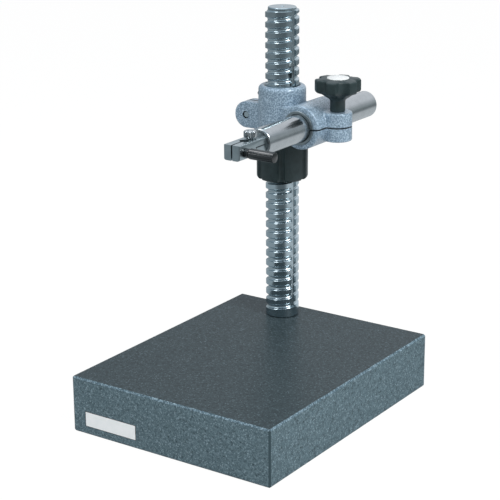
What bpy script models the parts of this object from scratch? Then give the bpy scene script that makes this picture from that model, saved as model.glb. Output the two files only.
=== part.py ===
"""Comparator stand: granite plate, threaded column, cast head, sliding arm with a stem holder.

Metres, +Z up. The origin is the centre of the plate's underside, +X is to the right along
the front edge, +Y is to the back. The arm lies over the plate's centre line.
"""
import math

import bmesh
import bpy
from mathutils import Matrix, Vector

# Fits that many pieces share
seat_gap = 0.0003            # between two pieces that touch or seat
thread_play = 0.0003         # between the flanks of the column's thread and the feed nut's
slide_play = 0.0004          # radial play of the head on the column
screw_play = 0.0006          # radial play of a clamp screw in its clearance hole
cut_overrun = 0.003          # how far a cutter reaches past the face it cuts

# Granite plate
plate_width = 0.200
plate_depth = 0.250
plate_height = 0.050
plate_chamfer = 0.0015
plate_hole_radius = 0.00675
counterbore_radius = 0.013
counterbore_depth = 0.021
column_to_back_edge = 0.0244

# Screw that holds the column from below
base_screw_radius = 0.006
base_screw_grip = 0.025      # length that is threaded into the column
base_screw_head_radius = 0.009
base_screw_head_height = 0.012
base_socket_radius = 0.0056  # corner radius of the hexagon socket
base_socket_depth = 0.006
base_washer_radius = 0.012
base_washer_thickness = 0.0025
spring_washer_radius = 0.0098
spring_washer_thickness = 0.0024
spring_washer_split = 0.0012
tap_end = 0.003              # free depth left at the end of a tapped hole

# Column with its thread and keyway
column_radius = 0.015
column_height = 0.284
column_edge = 0.0006
thread_pitch = 0.0091
thread_depth = 0.0022
thread_groove = 0.0043       # groove's width at the column's surface
thread_floor = 0.0022        # and at its root
thread_datum = 0.0124        # height of a groove's centre on the +X side, above the plate
foot_band = 0.0045           # plain length at the foot
top_neck = 0.0025            # turned-down length at the top
neck_relief = 0.0002         # how far the neck lies below the thread's root
keyway_width = 0.005
keyway_depth = 0.0027
keyway_start = 0.009         # height of the keyway's lower end above the plate
centre_drill_radius = 0.002
centre_drill_depth = 0.0018

# Cast head: sleeve on the column, boss for the arm
head_clearance = 0.172       # plate's top face to the sleeve's lower face
sleeve_height = 0.043
sleeve_wall = 0.0051
sleeve_lip = 0.003           # rounding of the sleeve's upper edge
bore_chamfer = 0.0012
head_reach = 0.0374          # column axis to arm axis
arm_rise = 0.0143            # arm axis above the sleeve's lower face
boss_wall = 0.0072
boss_front = 0.0326          # boss's front face, in front of the column axis
boss_back = 0.0194
boss_ring_wall = 0.0027      # raised ring on the boss's front face
boss_ring_height = 0.0018
boss_edge = 0.0022
web_front = 0.0185           # web between sleeve and boss, measured from the column axis
web_back = 0.0165
web_low = 0.002
web_high = 0.0275

# Clamp ears on the sleeve's left, closed by a screw along Y
column_ear_standoff = 0.0131     # sleeve's surface to the screw's axis
column_ear_radius = 0.012
column_ear_rise = 0.0128         # screw's axis above the sleeve's lower face
column_ear_width = 0.0172        # both ears and the slit
column_slit = 0.002

# Clamp ears on the boss's right, closed by a screw along Z
arm_ear_standoff = 0.011         # arm's surface to the screw's axis
arm_ear_forward = 0.0046         # screw's axis in front of the column axis
arm_ear_radius = 0.0123
arm_ear_height = 0.012           # thickness above and below the arm's axis
arm_ear_neck = 0.018
arm_slit = 0.0012
ear_edge = 0.001

# Clamp screws and their lobed knobs
clamp_screw_radius = 0.0031
clamp_screw_recess = 0.001       # screw's end below the far ear's face
clamp_screw_in_knob = 0.018
knob_radius = 0.020
knob_neck_radius = 0.0066
knob_cone_height = 0.0066        # from the neck to the foot of the lobes
knob_rim_height = 0.0097
knob_edge = 0.0016
knob_crown = 0.0008              # rise of the knob's top towards its centre
knob_scoop_radius = 0.007        # of the hollows between the lobes
knob_scoop_depth = 0.004
arm_knob_neck = 0.0111
column_knob_neck = 0.0198
cap_radius = 0.0098
cap_thickness = 0.0018
cap_dome = 0.0016
cap_seat_depth = 0.0010

# Feed nut, its thrust washer and the head's guide key
nut_height = 0.0415
nut_wall = 0.008
nut_edge = 0.003
nut_groove_radius = 0.0034       # of the hollow round grooves
nut_groove_depth = 0.0024
nut_thread_lead_in = 0.002       # plain length at each end of the nut's thread
thrust_washer_thickness = 0.0015
thrust_washer_width = 0.0024     # from its bore to its edge
thrust_washer_stand = 0.0002     # how far the washer stands above the nut's rim
key_height = 0.0022              # how far the key stands into the sleeve's wall
key_length = 0.030
key_rise = 0.005                 # key's lower end above the sleeve's lower face

# Arm: a round bar milled down to a stem holder at its front end
arm_radius = 0.012
arm_length = 0.214
arm_tip_reach = 0.1316           # column axis to the arm's tip
arm_edge = 0.001
holder_length = 0.039
holder_width = 0.016
holder_above = 0.006             # holder's top above the arm's axis
holder_below = 0.0071
holder_edge = 0.0012
holder_low_edge = 0.0026         # rounding that the bar's turning leaves along the holder's foot
stem_radius = 0.004              # the 8 mm hole for an indicator's stem
stem_to_tip = 0.018
stem_slit = 0.0014
leaf_thickness = 0.0055          # spring leaf above the flexure slot
flexure_slot = 0.0008
flexure_front = 0.0238           # flexure slot's front end, from the arm's tip
flexure_root = 0.0015            # solid length between its back end and the round bar

# Screws on the stem holder
stem_screw_radius = 0.0025
stem_screw_to_tip = 0.009
stem_screw_drop = 0.0013         # screw's axis below the arm's axis
stem_screw_recess = 0.001
stem_screw_in_knob = 0.014
stem_knob_radius = 0.0045
stem_knob_length = 0.0282
stem_knob_edge = 0.0008
fine_screw_radius = 0.002
fine_screw_to_tip = 0.027
fine_head_radius = 0.0056
fine_head_height = 0.0062
fine_head_lift = 0.0008          # between the head and the holder's top
fine_head_edge = 0.0012

# Angles, counts and shares
keyway_angle = math.radians(-12)
knob_lobes = 6
knob_turn = math.radians(-46)        # direction of one hollow of the arm's knob
nut_grooves = 6
nut_turn = math.radians(-59)         # direction of one groove of the nut
thread_steps = 20                    # facets in one turn of the thread
round_sides = 40
nut_sides = 72
small_sides = 20
knob_sides = 48
corner_steps = 2
neck_flare_share = 0.52              # radius of the cone's waist, as a share of the knob's
waist_height_share = 0.4             # height of the waist, as a share of the cone's
dome_shares = (0.94, 0.7, 0.4)       # radii of the cap's domed rings, as shares of the cap's
weld_distance = 0.00001

# Places that follow from the sizes above
plate_top = plate_height
column_x = -head_reach
column_y = plate_depth / 2 - column_to_back_edge
column_foot = plate_top + seat_gap
column_top = plate_top + column_height
root_radius = column_radius - thread_depth
head_bottom = plate_top + head_clearance
bore_radius = column_radius + slide_play
sleeve_radius = bore_radius + sleeve_wall
arm_z = head_bottom + arm_rise
arm_bore = arm_radius + seat_gap
boss_radius = arm_bore + boss_wall
column_ear_reach = sleeve_radius + column_ear_standoff
arm_ear_reach = arm_radius + arm_ear_standoff
washer_top = head_bottom - seat_gap
washer_bottom = washer_top - thrust_washer_thickness
washer_outer = bore_radius + thrust_washer_width
nut_top = washer_top - thrust_washer_stand
nut_bottom = nut_top - nut_height
nut_recess_floor = washer_bottom - seat_gap
nut_radius = column_radius + nut_wall


def clear_scene():
    for item in list(bpy.data.objects):
        bpy.data.objects.remove(item, do_unlink=True)


def finish(name, colour, roughness, metallic):
    """One Principled material; the colour is linear RGB."""
    material = bpy.data.materials.new(name)
    material.use_nodes = True
    shader = material.node_tree.nodes["Principled BSDF"]
    shader.inputs["Base Color"].default_value = (*colour, 1.0)
    shader.inputs["Roughness"].default_value = roughness
    shader.inputs["Metallic"].default_value = metallic
    material.diffuse_color = (*colour, 1.0)
    return material


finishes = {
    "granite": ((0.085, 0.105, 0.115), 0.35, 0.0),
    "plated_steel": ((0.52, 0.56, 0.60), 0.25, 1.0),
    "dark_steel": ((0.12, 0.12, 0.13), 0.40, 1.0),
    "hammered_paint": ((0.24, 0.31, 0.40), 0.38, 0.35),
    "chrome": ((0.62, 0.63, 0.64), 0.12, 1.0),
    "black_plastic": ((0.020, 0.026, 0.028), 0.45, 0.0),
    "white_plastic": ((0.80, 0.80, 0.79), 0.35, 0.0),
    "brass": ((0.58, 0.42, 0.16), 0.30, 1.0),
}


def empty_at(name, place, parent=None, turn=(0, 0, 0)):
    """An empty on a joint's axis; place is in its parent's frame."""
    item = bpy.data.objects.new(name, None)
    bpy.context.scene.collection.objects.link(item)
    item.parent = parent
    item.location = place
    item.rotation_euler = turn
    return item


def add_object(name, bm, parent=None, place=(0, 0, 0), turn=(0, 0, 0)):
    bmesh.ops.remove_doubles(bm, verts=bm.verts, dist=weld_distance)
    bmesh.ops.recalc_face_normals(bm, faces=bm.faces)
    mesh = bpy.data.meshes.new(name)
    bm.to_mesh(mesh)
    bm.free()
    item = bpy.data.objects.new(name, mesh)
    bpy.context.scene.collection.objects.link(item)
    item.parent = parent
    item.location = place
    item.rotation_euler = turn
    return item


def add_part(name, bm, look, parent=None, place=(0, 0, 0), turn=(0, 0, 0), smooth=True):
    """A piece that the stand is made of, with its own material."""
    item = add_object(name, bm, parent, place, turn)
    item.data.materials.append(finish(f"{name}_{look}", *finishes[look]))
    if smooth:
        item.data.shade_smooth()
        item.data.set_sharp_from_angle(angle=math.radians(30))
    return item


def add_guide(name, bm, parent=None, place=(0, 0, 0), turn=(0, 0, 0)):
    """A shape that only cuts or joins."""
    item = add_object(name, bm, parent, place, turn)
    item.hide_render = True
    item.display_type = "WIRE"
    return item


def combine(item, guide, operation):
    step = item.modifiers.new(guide.name, "BOOLEAN")
    step.object = guide
    step.operation = operation
    step.solver = "EXACT"


def cut(item, guide):
    combine(item, guide, "DIFFERENCE")


def join(item, guide):
    combine(item, guide, "UNION")


def arc(centre, radius, start, end, steps=corner_steps):
    """Points on an arc in a plane, from one angle to another in degrees."""
    points = []
    for step in range(steps + 1):
        angle = math.radians(start + (end - start) * step / steps)
        points.append((centre[0] + radius * math.cos(angle), centre[1] + radius * math.sin(angle)))
    return points


def turned(profile, sides=round_sides, ring=False, outline=None):
    """A body turned about Z from (radius, height) points; ring closes the profile on itself.

    outline(angle) may return the largest radius that the body has in that direction.
    """
    bm = bmesh.new()
    loops = []
    for radius, height in profile:
        if radius == 0:
            loops.append([bm.verts.new((0, 0, height))])
            continue
        loop = []
        for side in range(sides):
            angle = 2 * math.pi * side / sides
            reach = min(radius, outline(angle)) if outline else radius
            loop.append(bm.verts.new((reach * math.cos(angle), reach * math.sin(angle), height)))
        loops.append(loop)
    pairs = list(zip(loops, loops[1:]))
    if ring:
        pairs.append((loops[-1], loops[0]))
    for low, high in pairs:
        for side in range(sides):
            after = (side + 1) % sides
            corners = [low[side % len(low)], low[after % len(low)]]
            corners += [high[after % len(high)], high[side % len(high)]]
            unique = list(dict.fromkeys(corners))
            if len(unique) > 2:
                bm.faces.new(unique)
    return bm


def scooped(radius, count, scoop_radius, scoop_depth):
    """The outline of a round with evenly spaced round hollows, the first of them at angle 0."""
    period = 2 * math.pi / count
    centre = radius - scoop_depth + scoop_radius

    def outline(angle):
        offset = (angle + period / 2) % period - period / 2
        across = centre * math.sin(offset)
        if abs(across) >= scoop_radius:
            return radius
        return min(radius, centre * math.cos(offset) - math.sqrt(scoop_radius ** 2 - across ** 2))

    return outline


def prism(outline, low, high):
    """A straight solid along Z over a closed outline."""
    bm = bmesh.new()
    base = [bm.verts.new((x, y, low)) for x, y in outline]
    face = bm.faces.new(base)
    made = bmesh.ops.extrude_face_region(bm, geom=[face])
    top = [item for item in made["geom"] if isinstance(item, bmesh.types.BMVert)]
    bmesh.ops.translate(bm, verts=top, vec=Vector((0, 0, high - low)))
    return bm


def block(low, high):
    """A box from its lowest to its highest corner."""
    outline = [(low[0], low[1]), (high[0], low[1]), (high[0], high[1]), (low[0], high[1])]
    return prism(outline, low[2], high[2])


def soften(bm, width, segments=1, sharpest=math.radians(40)):
    """Bevel every edge that is sharper than an angle."""
    edges = [edge for edge in bm.edges if edge.calc_face_angle(0) > sharpest]
    bmesh.ops.bevel(bm, geom=edges, offset=width, segments=segments, affect="EDGES")
    return bm


def moved(bm, place=(0, 0, 0), turn=None):
    if turn:
        bmesh.ops.transform(bm, matrix=turn, verts=bm.verts)
    bmesh.ops.translate(bm, verts=bm.verts, vec=Vector(place))
    return bm


def laid_forward(bm):
    """Turns a body's +Z to -Y, its +Y to +Z."""
    return moved(bm, turn=Matrix.Rotation(math.radians(90), 4, "X"))


def rod(radius, low, high, sides=small_sides):
    return turned([(0, low), (radius, low), (radius, high), (0, high)], sides)


def groove_half(radius):
    """Half the width of the column's groove at a radius."""
    rise_share = (min(radius, column_radius) - root_radius) / thread_depth
    return (thread_floor + (thread_groove - thread_floor) * rise_share) / 2


def helical_bar(profile, low, high):
    """A bar swept along the column's helix, from (radius, half its width there) points.

    Its centre passes thread_datum above the plate on the +X side, and its middle line
    runs from low to high, cut back to whole facets. The middle radius is that of the
    round face it crosses, so that both shapes share their corners there.
    """
    datum = plate_top + thread_datum
    rise = thread_pitch / thread_steps
    first = math.ceil((low - datum) / rise)
    last = math.floor((high - datum) / rise)
    bm = bmesh.new()
    sections = []
    for step in range(first, last + 1):
        angle = 2 * math.pi * (step % thread_steps) / thread_steps
        centre = datum + rise * step
        corners = [(radius, -half) for radius, half in profile]
        corners += [(radius, half) for radius, half in reversed(profile)]
        section = [bm.verts.new((r * math.cos(angle), r * math.sin(angle), centre + z))
                   for r, z in corners]
        sections.append(section)
    for near, far in zip(sections, sections[1:]):
        for corner in range(len(near)):
            after = (corner + 1) % len(near)
            bm.faces.new((near[corner], far[corner], far[after], near[after]))
    bm.faces.new(sections[0])
    bm.faces.new(sections[-1])
    return bm


def on_column(height):
    return (column_x, column_y, height)


def build_plate():
    body = block((-plate_width / 2, -plate_depth / 2, 0), (plate_width / 2, plate_depth / 2, plate_height))
    plate = add_part("granite_base", soften(body, plate_chamfer), "granite", smooth=False)
    hole = [(0, -cut_overrun), (counterbore_radius, -cut_overrun), (counterbore_radius, counterbore_depth),
            (plate_hole_radius, counterbore_depth), (plate_hole_radius, plate_height + cut_overrun),
            (0, plate_height + cut_overrun)]
    cut(plate, add_guide("plate_hole", turned(hole, small_sides), place=on_column(0)))


def build_base_screw():
    inner = base_screw_radius + screw_play
    washer_high = counterbore_depth - seat_gap
    washer_low = washer_high - base_washer_thickness
    washer = [(inner, washer_low), (base_washer_radius, washer_low), (base_washer_radius, washer_high),
              (inner, washer_high)]
    add_part("column_base_washer", turned(washer, small_sides, ring=True), "plated_steel", place=on_column(0))
    spring_high = washer_low - seat_gap
    spring_low = spring_high - spring_washer_thickness
    spring = [(inner, spring_low), (spring_washer_radius, spring_low), (spring_washer_radius, spring_high),
              (inner, spring_high)]
    spring_ring = turned(spring, small_sides, ring=True)
    spring_washer = add_part("column_base_spring_washer", spring_ring, "dark_steel", place=on_column(0))
    split = block((0, -spring_washer_split / 2, spring_low - cut_overrun),
                  (spring_washer_radius + cut_overrun, spring_washer_split / 2, spring_high + cut_overrun))
    cut(spring_washer, add_guide("spring_washer_split", split, place=on_column(0)))
    head_high = spring_low - seat_gap
    head_low = head_high - base_screw_head_height
    tip = column_foot + base_screw_grip
    profile = [(0, head_low), (base_screw_head_radius - column_edge, head_low),
               (base_screw_head_radius, head_low + column_edge), (base_screw_head_radius, head_high),
               (base_screw_radius, head_high), (base_screw_radius, tip - column_edge),
               (base_screw_radius - column_edge, tip), (0, tip)]
    screw = add_part("column_base_screw", turned(profile, small_sides), "dark_steel", place=on_column(0))
    socket = rod(base_socket_radius, head_low - cut_overrun, head_low + base_socket_depth, sides=6)
    cut(screw, add_guide("base_socket", socket, place=on_column(0)))


def build_column():
    neck_radius = root_radius - neck_relief
    shoulder = column_top - top_neck
    profile = [(0, column_foot), (column_radius - column_edge, column_foot),
               (column_radius, column_foot + column_edge), (column_radius, shoulder - column_edge),
               (column_radius - column_edge, shoulder), (neck_radius, shoulder),
               (neck_radius, column_top - column_edge), (neck_radius - column_edge, column_top),
               (0, column_top)]
    column = add_part("column", turned(profile, thread_steps), "plated_steel", place=on_column(0))
    groove_low = plate_top + foot_band + thread_groove / 2
    groove_high = column_top + thread_groove
    groove_radii = (root_radius, column_radius, column_radius + cut_overrun)
    groove_profile = [(radius, groove_half(radius)) for radius in groove_radii]
    groove = helical_bar(groove_profile, groove_low, groove_high)
    cut(column, add_guide("thread_groove", groove, place=on_column(0)))
    keyway_low = (column_radius - keyway_depth, -keyway_width / 2, plate_top + keyway_start)
    keyway_high = (column_radius + cut_overrun, keyway_width / 2, column_top + cut_overrun)
    keyway = add_guide("keyway", block(keyway_low, keyway_high), place=on_column(0),
                       turn=(0, 0, keyway_angle))
    cut(column, keyway)
    tap_radius = base_screw_radius + seat_gap
    tap_top = column_foot + base_screw_grip + tap_end
    tap = [(0, column_foot - cut_overrun), (tap_radius, column_foot - cut_overrun), (tap_radius, tap_top),
           (0, tap_top + tap_end)]
    cut(column, add_guide("column_tap", turned(tap, small_sides), place=on_column(0)))
    drill = [(0, column_top - centre_drill_depth), (centre_drill_radius, column_top),
             (centre_drill_radius, column_top + cut_overrun), (0, column_top + cut_overrun)]
    cut(column, add_guide("centre_drill", turned(drill, small_sides), place=on_column(0)))


def sleeve_body():
    lip = arc((sleeve_radius - sleeve_lip, sleeve_height - sleeve_lip), sleeve_lip, 0, 90)
    profile = [(0, 0), (sleeve_radius - ear_edge, 0), (sleeve_radius, ear_edge)] + lip
    return turned(profile + [(0, sleeve_height)])


def boss_body():
    """The arm's boss, along local +Z from the back face to the ring on the front face."""
    ring_radius = arm_bore + boss_ring_wall
    face = boss_front - boss_ring_height
    front_edge = arc((boss_radius - boss_edge, face - boss_edge), boss_edge, 0, 90)
    profile = [(0, -boss_back), (boss_radius - boss_edge, -boss_back),
               (boss_radius, -boss_back + boss_edge)] + front_edge
    profile += [(ring_radius, face), (ring_radius, boss_front), (0, boss_front)]
    return laid_forward(turned(profile))


def column_ears_body():
    """Both ears of the column's clamp before the slit is cut, in the head's frame."""
    lobe = arc((-column_ear_reach, column_ear_rise), column_ear_radius, 90, 270, steps=small_sides // 2)
    low = column_ear_rise - column_ear_radius
    high = column_ear_rise + column_ear_radius
    outline = lobe + [(-root_radius, low), (-root_radius, high)]
    half = column_ear_width / 2
    return laid_forward(soften(prism(outline, -half, half), ear_edge))


def arm_ears_body():
    """Both ears of the arm's clamp before the slit is cut, in the head's frame."""
    centre = (head_reach + arm_ear_reach, -arm_ear_forward)
    half = arm_ear_neck / 2
    spread = math.degrees(math.asin(half / arm_ear_radius))
    lobe = arc(centre, arm_ear_radius, -180 + spread, 180 - spread, steps=small_sides)
    root = head_reach + arm_radius / 2
    outline = [(root, centre[1] - half)] + lobe + [(root, centre[1] + half)]
    return soften(prism(outline, arm_rise - arm_ear_height, arm_rise + arm_ear_height), ear_edge)


def flared_bore(radius, low, high):
    """A cutter for a bore, with a chamfer at both of its mouths."""
    flare = bore_chamfer + cut_overrun
    profile = [(0, low - cut_overrun), (radius + flare, low - cut_overrun), (radius, low + bore_chamfer),
               (radius, high - bore_chamfer), (radius + flare, high + cut_overrun), (0, high + cut_overrun)]
    return turned(profile)


def screw_hole(tapped_low, split, clear_high):
    """A stepped cutter: tapped below the split, with clearance above it."""
    tap_radius = clamp_screw_radius + seat_gap
    clear_radius = clamp_screw_radius + screw_play
    return turned([(0, tapped_low - cut_overrun), (tap_radius, tapped_low - cut_overrun), (tap_radius, split),
                   (clear_radius, split), (clear_radius, clear_high + cut_overrun),
                   (0, clear_high + cut_overrun)], small_sides)


def build_head(carriage):
    """The casting, in a frame on the column's axis at the sleeve's lower face."""
    head = add_part("head_bracket", sleeve_body(), "hammered_paint", carriage)
    arm_line = (head_reach, 0, arm_rise)
    web = block((sleeve_wall, -web_front, web_low), (head_reach - arm_radius / 2, web_back, web_high))
    join(head, add_guide("head_boss", boss_body(), carriage, place=arm_line))
    join(head, add_guide("head_web", soften(web, ear_edge), carriage))
    join(head, add_guide("column_ears", column_ears_body(), carriage))
    join(head, add_guide("arm_ears", arm_ears_body(), carriage))
    cut(head, add_guide("column_bore", flared_bore(bore_radius, 0, sleeve_height), carriage))
    seat_half = key_side() / 2 + seat_gap
    seat = block((root_radius, -seat_half, key_rise - seat_gap),
                 (bore_radius + key_height + seat_gap, seat_half, key_rise + key_length + seat_gap))
    cut(head, add_guide("key_seat", seat, carriage, turn=(0, 0, keyway_angle)))
    arm_bore_cutter = laid_forward(flared_bore(arm_bore, -boss_back, boss_front))
    cut(head, add_guide("arm_bore", arm_bore_cutter, carriage, place=arm_line))
    ear_end = column_ear_reach + column_ear_radius + cut_overrun
    column_gap = block((-ear_end, -column_slit / 2, -cut_overrun),
                       (-root_radius, column_slit / 2, sleeve_height + cut_overrun))
    cut(head, add_guide("column_slit", column_gap, carriage))
    lobe_end = head_reach + arm_ear_reach + arm_ear_radius + cut_overrun
    arm_gap = block((head_reach + arm_radius / 2, -boss_front - cut_overrun, arm_rise - arm_slit / 2),
                    (lobe_end, boss_back + cut_overrun, arm_rise + arm_slit / 2))
    cut(head, add_guide("arm_slit", arm_gap, carriage))
    half = column_ear_width / 2
    column_hole = moved(screw_hole(-half, 0, half), turn=Matrix.Rotation(math.radians(-90), 4, "X"))
    column_hole_place = (-column_ear_reach, 0, column_ear_rise)
    cut(head, add_guide("column_screw_hole", column_hole, carriage, place=column_hole_place))
    arm_hole = screw_hole(-arm_ear_height, 0, arm_ear_height)
    arm_hole_place = (head_reach + arm_ear_reach, -arm_ear_forward, arm_rise)
    cut(head, add_guide("arm_screw_hole", arm_hole, carriage, place=arm_hole_place))


def key_side():
    return keyway_width - 2 * seat_gap


def build_guide_key(carriage):
    inner = column_radius - keyway_depth + seat_gap
    half = key_side() / 2
    body = block((inner, -half, key_rise), (bore_radius + key_height, half, key_rise + key_length))
    add_part("guide_key", soften(body, neck_relief), "dark_steel", carriage, turn=(0, 0, keyway_angle),
             smooth=False)


def build_thrust_washer(carriage):
    washer = [(bore_radius, washer_bottom), (washer_outer, washer_bottom), (washer_outer, washer_top),
              (bore_radius, washer_top)]
    body = turned(washer, small_sides, ring=True)
    add_part("thrust_washer", body, "brass", carriage, place=(0, 0, -head_bottom))


def build_feed_nut(nut_axis):
    """The nut is built in the column's heights, under an empty that stands on the column's axis."""
    place = (0, 0, -nut_bottom)
    low_edge = arc((nut_radius - nut_edge, nut_bottom + nut_edge), nut_edge, -90, 0)
    high_edge = arc((nut_radius - column_edge, nut_top - column_edge), column_edge, 0, 90, steps=1)
    recess_radius = washer_outer + seat_gap
    profile = [(0, nut_bottom)] + low_edge + high_edge
    profile += [(recess_radius, nut_top), (recess_radius, nut_recess_floor), (0, nut_recess_floor)]
    grooves = scooped(nut_radius, nut_grooves, nut_groove_radius, nut_groove_depth)
    body = moved(turned(profile, nut_sides, outline=grooves), turn=Matrix.Rotation(nut_turn, 4, "Z"))
    nut = add_part("feed_nut", body, "black_plastic", nut_axis, place=place)
    bore = rod(bore_radius, nut_bottom - cut_overrun, nut_top + cut_overrun, thread_steps)
    cut(nut, add_guide("nut_bore", bore, nut_axis, place=place))
    ridge_radii = (root_radius + slide_play, bore_radius, bore_radius + thread_play)
    ridge_profile = [(radius, groove_half(radius) - thread_play) for radius in ridge_radii]
    ridge_low = nut_bottom + nut_thread_lead_in + thread_groove / 2
    ridge_high = nut_recess_floor - nut_thread_lead_in - thread_groove / 2
    ridge = helical_bar(ridge_profile, ridge_low, ridge_high)
    join(nut, add_guide("nut_thread", ridge, nut_axis, place=place))


def build_clamp(name, axis, neck_length, screw_reach):
    """A lobed knob along the axis empty's +Z, with its screw and cap; z is 0 at the ear's face."""
    low = seat_gap
    neck_top = low + neck_length
    rim_low = neck_top + knob_cone_height
    rim_high = rim_low + knob_rim_height
    crown = rim_high + knob_crown
    cap_seat = cap_radius + seat_gap
    waist = knob_radius * neck_flare_share
    bore = clamp_screw_radius + seat_gap
    neck = [(bore, low), (knob_neck_radius, low), (knob_neck_radius, neck_top),
            (waist, neck_top + knob_cone_height * waist_height_share)]
    rim = [(knob_radius - knob_edge, rim_low - knob_edge), (knob_radius, rim_low),
           (knob_radius, rim_high - knob_edge), (knob_radius - knob_edge, rim_high)]
    top = [(cap_seat, crown), (cap_seat, crown - cap_seat_depth), (bore, crown - cap_seat_depth)]
    lobes = scooped(knob_radius, knob_lobes, knob_scoop_radius, knob_scoop_depth)
    body = turned(neck + rim + top, knob_sides, ring=True, outline=lobes)
    add_part(f"{name}_knob", moved(body, turn=Matrix.Rotation(knob_turn, 4, "Z")), "black_plastic", axis)
    plug = seat_gap + clamp_screw_in_knob
    screw = [(0, -screw_reach), (clamp_screw_radius - column_edge, -screw_reach),
             (clamp_screw_radius, -screw_reach + column_edge), (clamp_screw_radius, plug), (0, plug)]
    add_part(f"{name}_screw", turned(screw, small_sides), "plated_steel", axis)
    cap_low = crown - cap_seat_depth + seat_gap
    cap_high = cap_low + cap_thickness
    cap = [(0, cap_low), (cap_radius, cap_low), (cap_radius, cap_high - column_edge)]
    for share in dome_shares:
        cap.append((cap_radius * share, cap_high - column_edge + cap_dome * (1 - share ** 2)))
    cap.append((0, cap_high - column_edge + cap_dome))
    add_part(f"{name}_knob_cap", turned(cap, small_sides), "white_plastic", axis)


def build_arm(arm_axis):
    """The bar and its stem holder, in a frame whose +Z points to the front and +Y up."""
    back = arm_tip_reach - arm_length
    shoulder = arm_tip_reach - holder_length
    profile = [(0, back), (arm_radius - arm_edge, back), (arm_radius, back + arm_edge),
               (arm_radius, shoulder - arm_edge / 2), (arm_radius - arm_edge / 2, shoulder), (0, shoulder)]
    arm = add_part("arm_bar", turned(profile), "chrome", arm_axis)
    half = holder_width / 2
    outline = []
    for x, y, edge, turn in ((half, holder_above, holder_edge, 0), (-half, holder_above, holder_edge, 90),
                             (-half, -holder_below, holder_low_edge, 180),
                             (half, -holder_below, holder_low_edge, 270)):
        centre = (x - math.copysign(edge, x), y - math.copysign(edge, y))
        outline += arc(centre, edge, turn, turn + 90, steps=2)
    holder = prism(outline, shoulder - holder_width, arm_tip_reach)
    join(arm, add_guide("stem_holder", holder, arm_axis))

    stem = arm_tip_reach - stem_to_tip
    slit = block((-stem_slit / 2, -holder_below - cut_overrun, stem),
                 (stem_slit / 2, holder_above + cut_overrun, arm_tip_reach + cut_overrun))
    cut(arm, add_guide("stem_slit", slit, arm_axis))
    upright = Matrix.Rotation(math.radians(-90), 4, "X")
    bore = moved(rod(stem_radius, -holder_below - cut_overrun, holder_above + cut_overrun, small_sides),
                 turn=upright)
    cut(arm, add_guide("stem_bore", bore, arm_axis, place=(0, 0, stem)))

    leaf_low = holder_above - leaf_thickness
    slot_front = arm_tip_reach - flexure_front
    slot_back = shoulder + flexure_root
    wide = arm_radius + cut_overrun
    slot = block((-wide, leaf_low - flexure_slot, slot_back), (wide, leaf_low, slot_front))
    cut(arm, add_guide("flexure_slot", slot, arm_axis))
    drop = block((-wide, -holder_below - cut_overrun, slot_front - flexure_slot),
                 (wide, leaf_low - flexure_slot / 2, slot_front))
    cut(arm, add_guide("flexure_drop", drop, arm_axis))
    fine_hole = rod(fine_screw_radius + seat_gap, leaf_low - flexure_slot / 2, holder_above + cut_overrun)
    fine_place = (0, 0, arm_tip_reach - fine_screw_to_tip)
    cut(arm, add_guide("fine_hole", moved(fine_hole, turn=upright), arm_axis, place=fine_place))
    sideways = Matrix.Rotation(math.radians(90), 4, "Y")
    tapped = stem_screw_radius + seat_gap
    clear = stem_screw_radius + screw_play
    jaw_hole = turned([(0, -half - cut_overrun), (tapped, -half - cut_overrun), (tapped, 0), (clear, 0),
                       (clear, half + cut_overrun), (0, half + cut_overrun)], small_sides)
    jaw_place = (0, -stem_screw_drop, arm_tip_reach - stem_screw_to_tip)
    cut(arm, add_guide("jaw_hole", moved(jaw_hole, turn=sideways), arm_axis, place=jaw_place))


def build_fine_screw(fine_axis):
    """Knurled screw through the leaf, its tip against the tongue below; z is 0 at the holder's top."""
    tip = -leaf_thickness - flexure_slot + seat_gap
    head_low = fine_head_lift
    head_high = head_low + fine_head_height
    profile = [(0, tip), (fine_screw_radius - neck_relief, tip), (fine_screw_radius, tip + neck_relief),
               (fine_screw_radius, head_low), (fine_head_radius - fine_head_edge, head_low),
               (fine_head_radius, head_low + fine_head_edge), (fine_head_radius, head_high - fine_head_edge),
               (fine_head_radius - fine_head_edge, head_high), (0, head_high)]
    add_part("fine_adjust_screw", turned(profile, small_sides), "chrome", fine_axis)


def build_stem_clamp(stem_axis):
    """Clamp screw along the axis empty's +Z with its long black knob; z is 0 at the jaw's face."""
    screw_low = -holder_width + stem_screw_recess
    screw_high = seat_gap + stem_screw_in_knob
    screw = [(0, screw_low), (stem_screw_radius - neck_relief, screw_low),
             (stem_screw_radius, screw_low + neck_relief), (stem_screw_radius, screw_high), (0, screw_high)]
    add_part("stem_clamp_screw", turned(screw, small_sides), "plated_steel", stem_axis)
    low = seat_gap
    high = low + stem_knob_length
    bore = stem_screw_radius + seat_gap
    bore_end = screw_high + seat_gap
    knob = [(bore, low), (stem_knob_radius - stem_knob_edge, low), (stem_knob_radius, low + stem_knob_edge),
            (stem_knob_radius, high - stem_knob_edge), (stem_knob_radius - stem_knob_edge, high), (0, high),
            (0, bore_end), (bore, bore_end)]
    add_part("stem_clamp_knob", turned(knob, small_sides, ring=True), "black_plastic", stem_axis)


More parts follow.
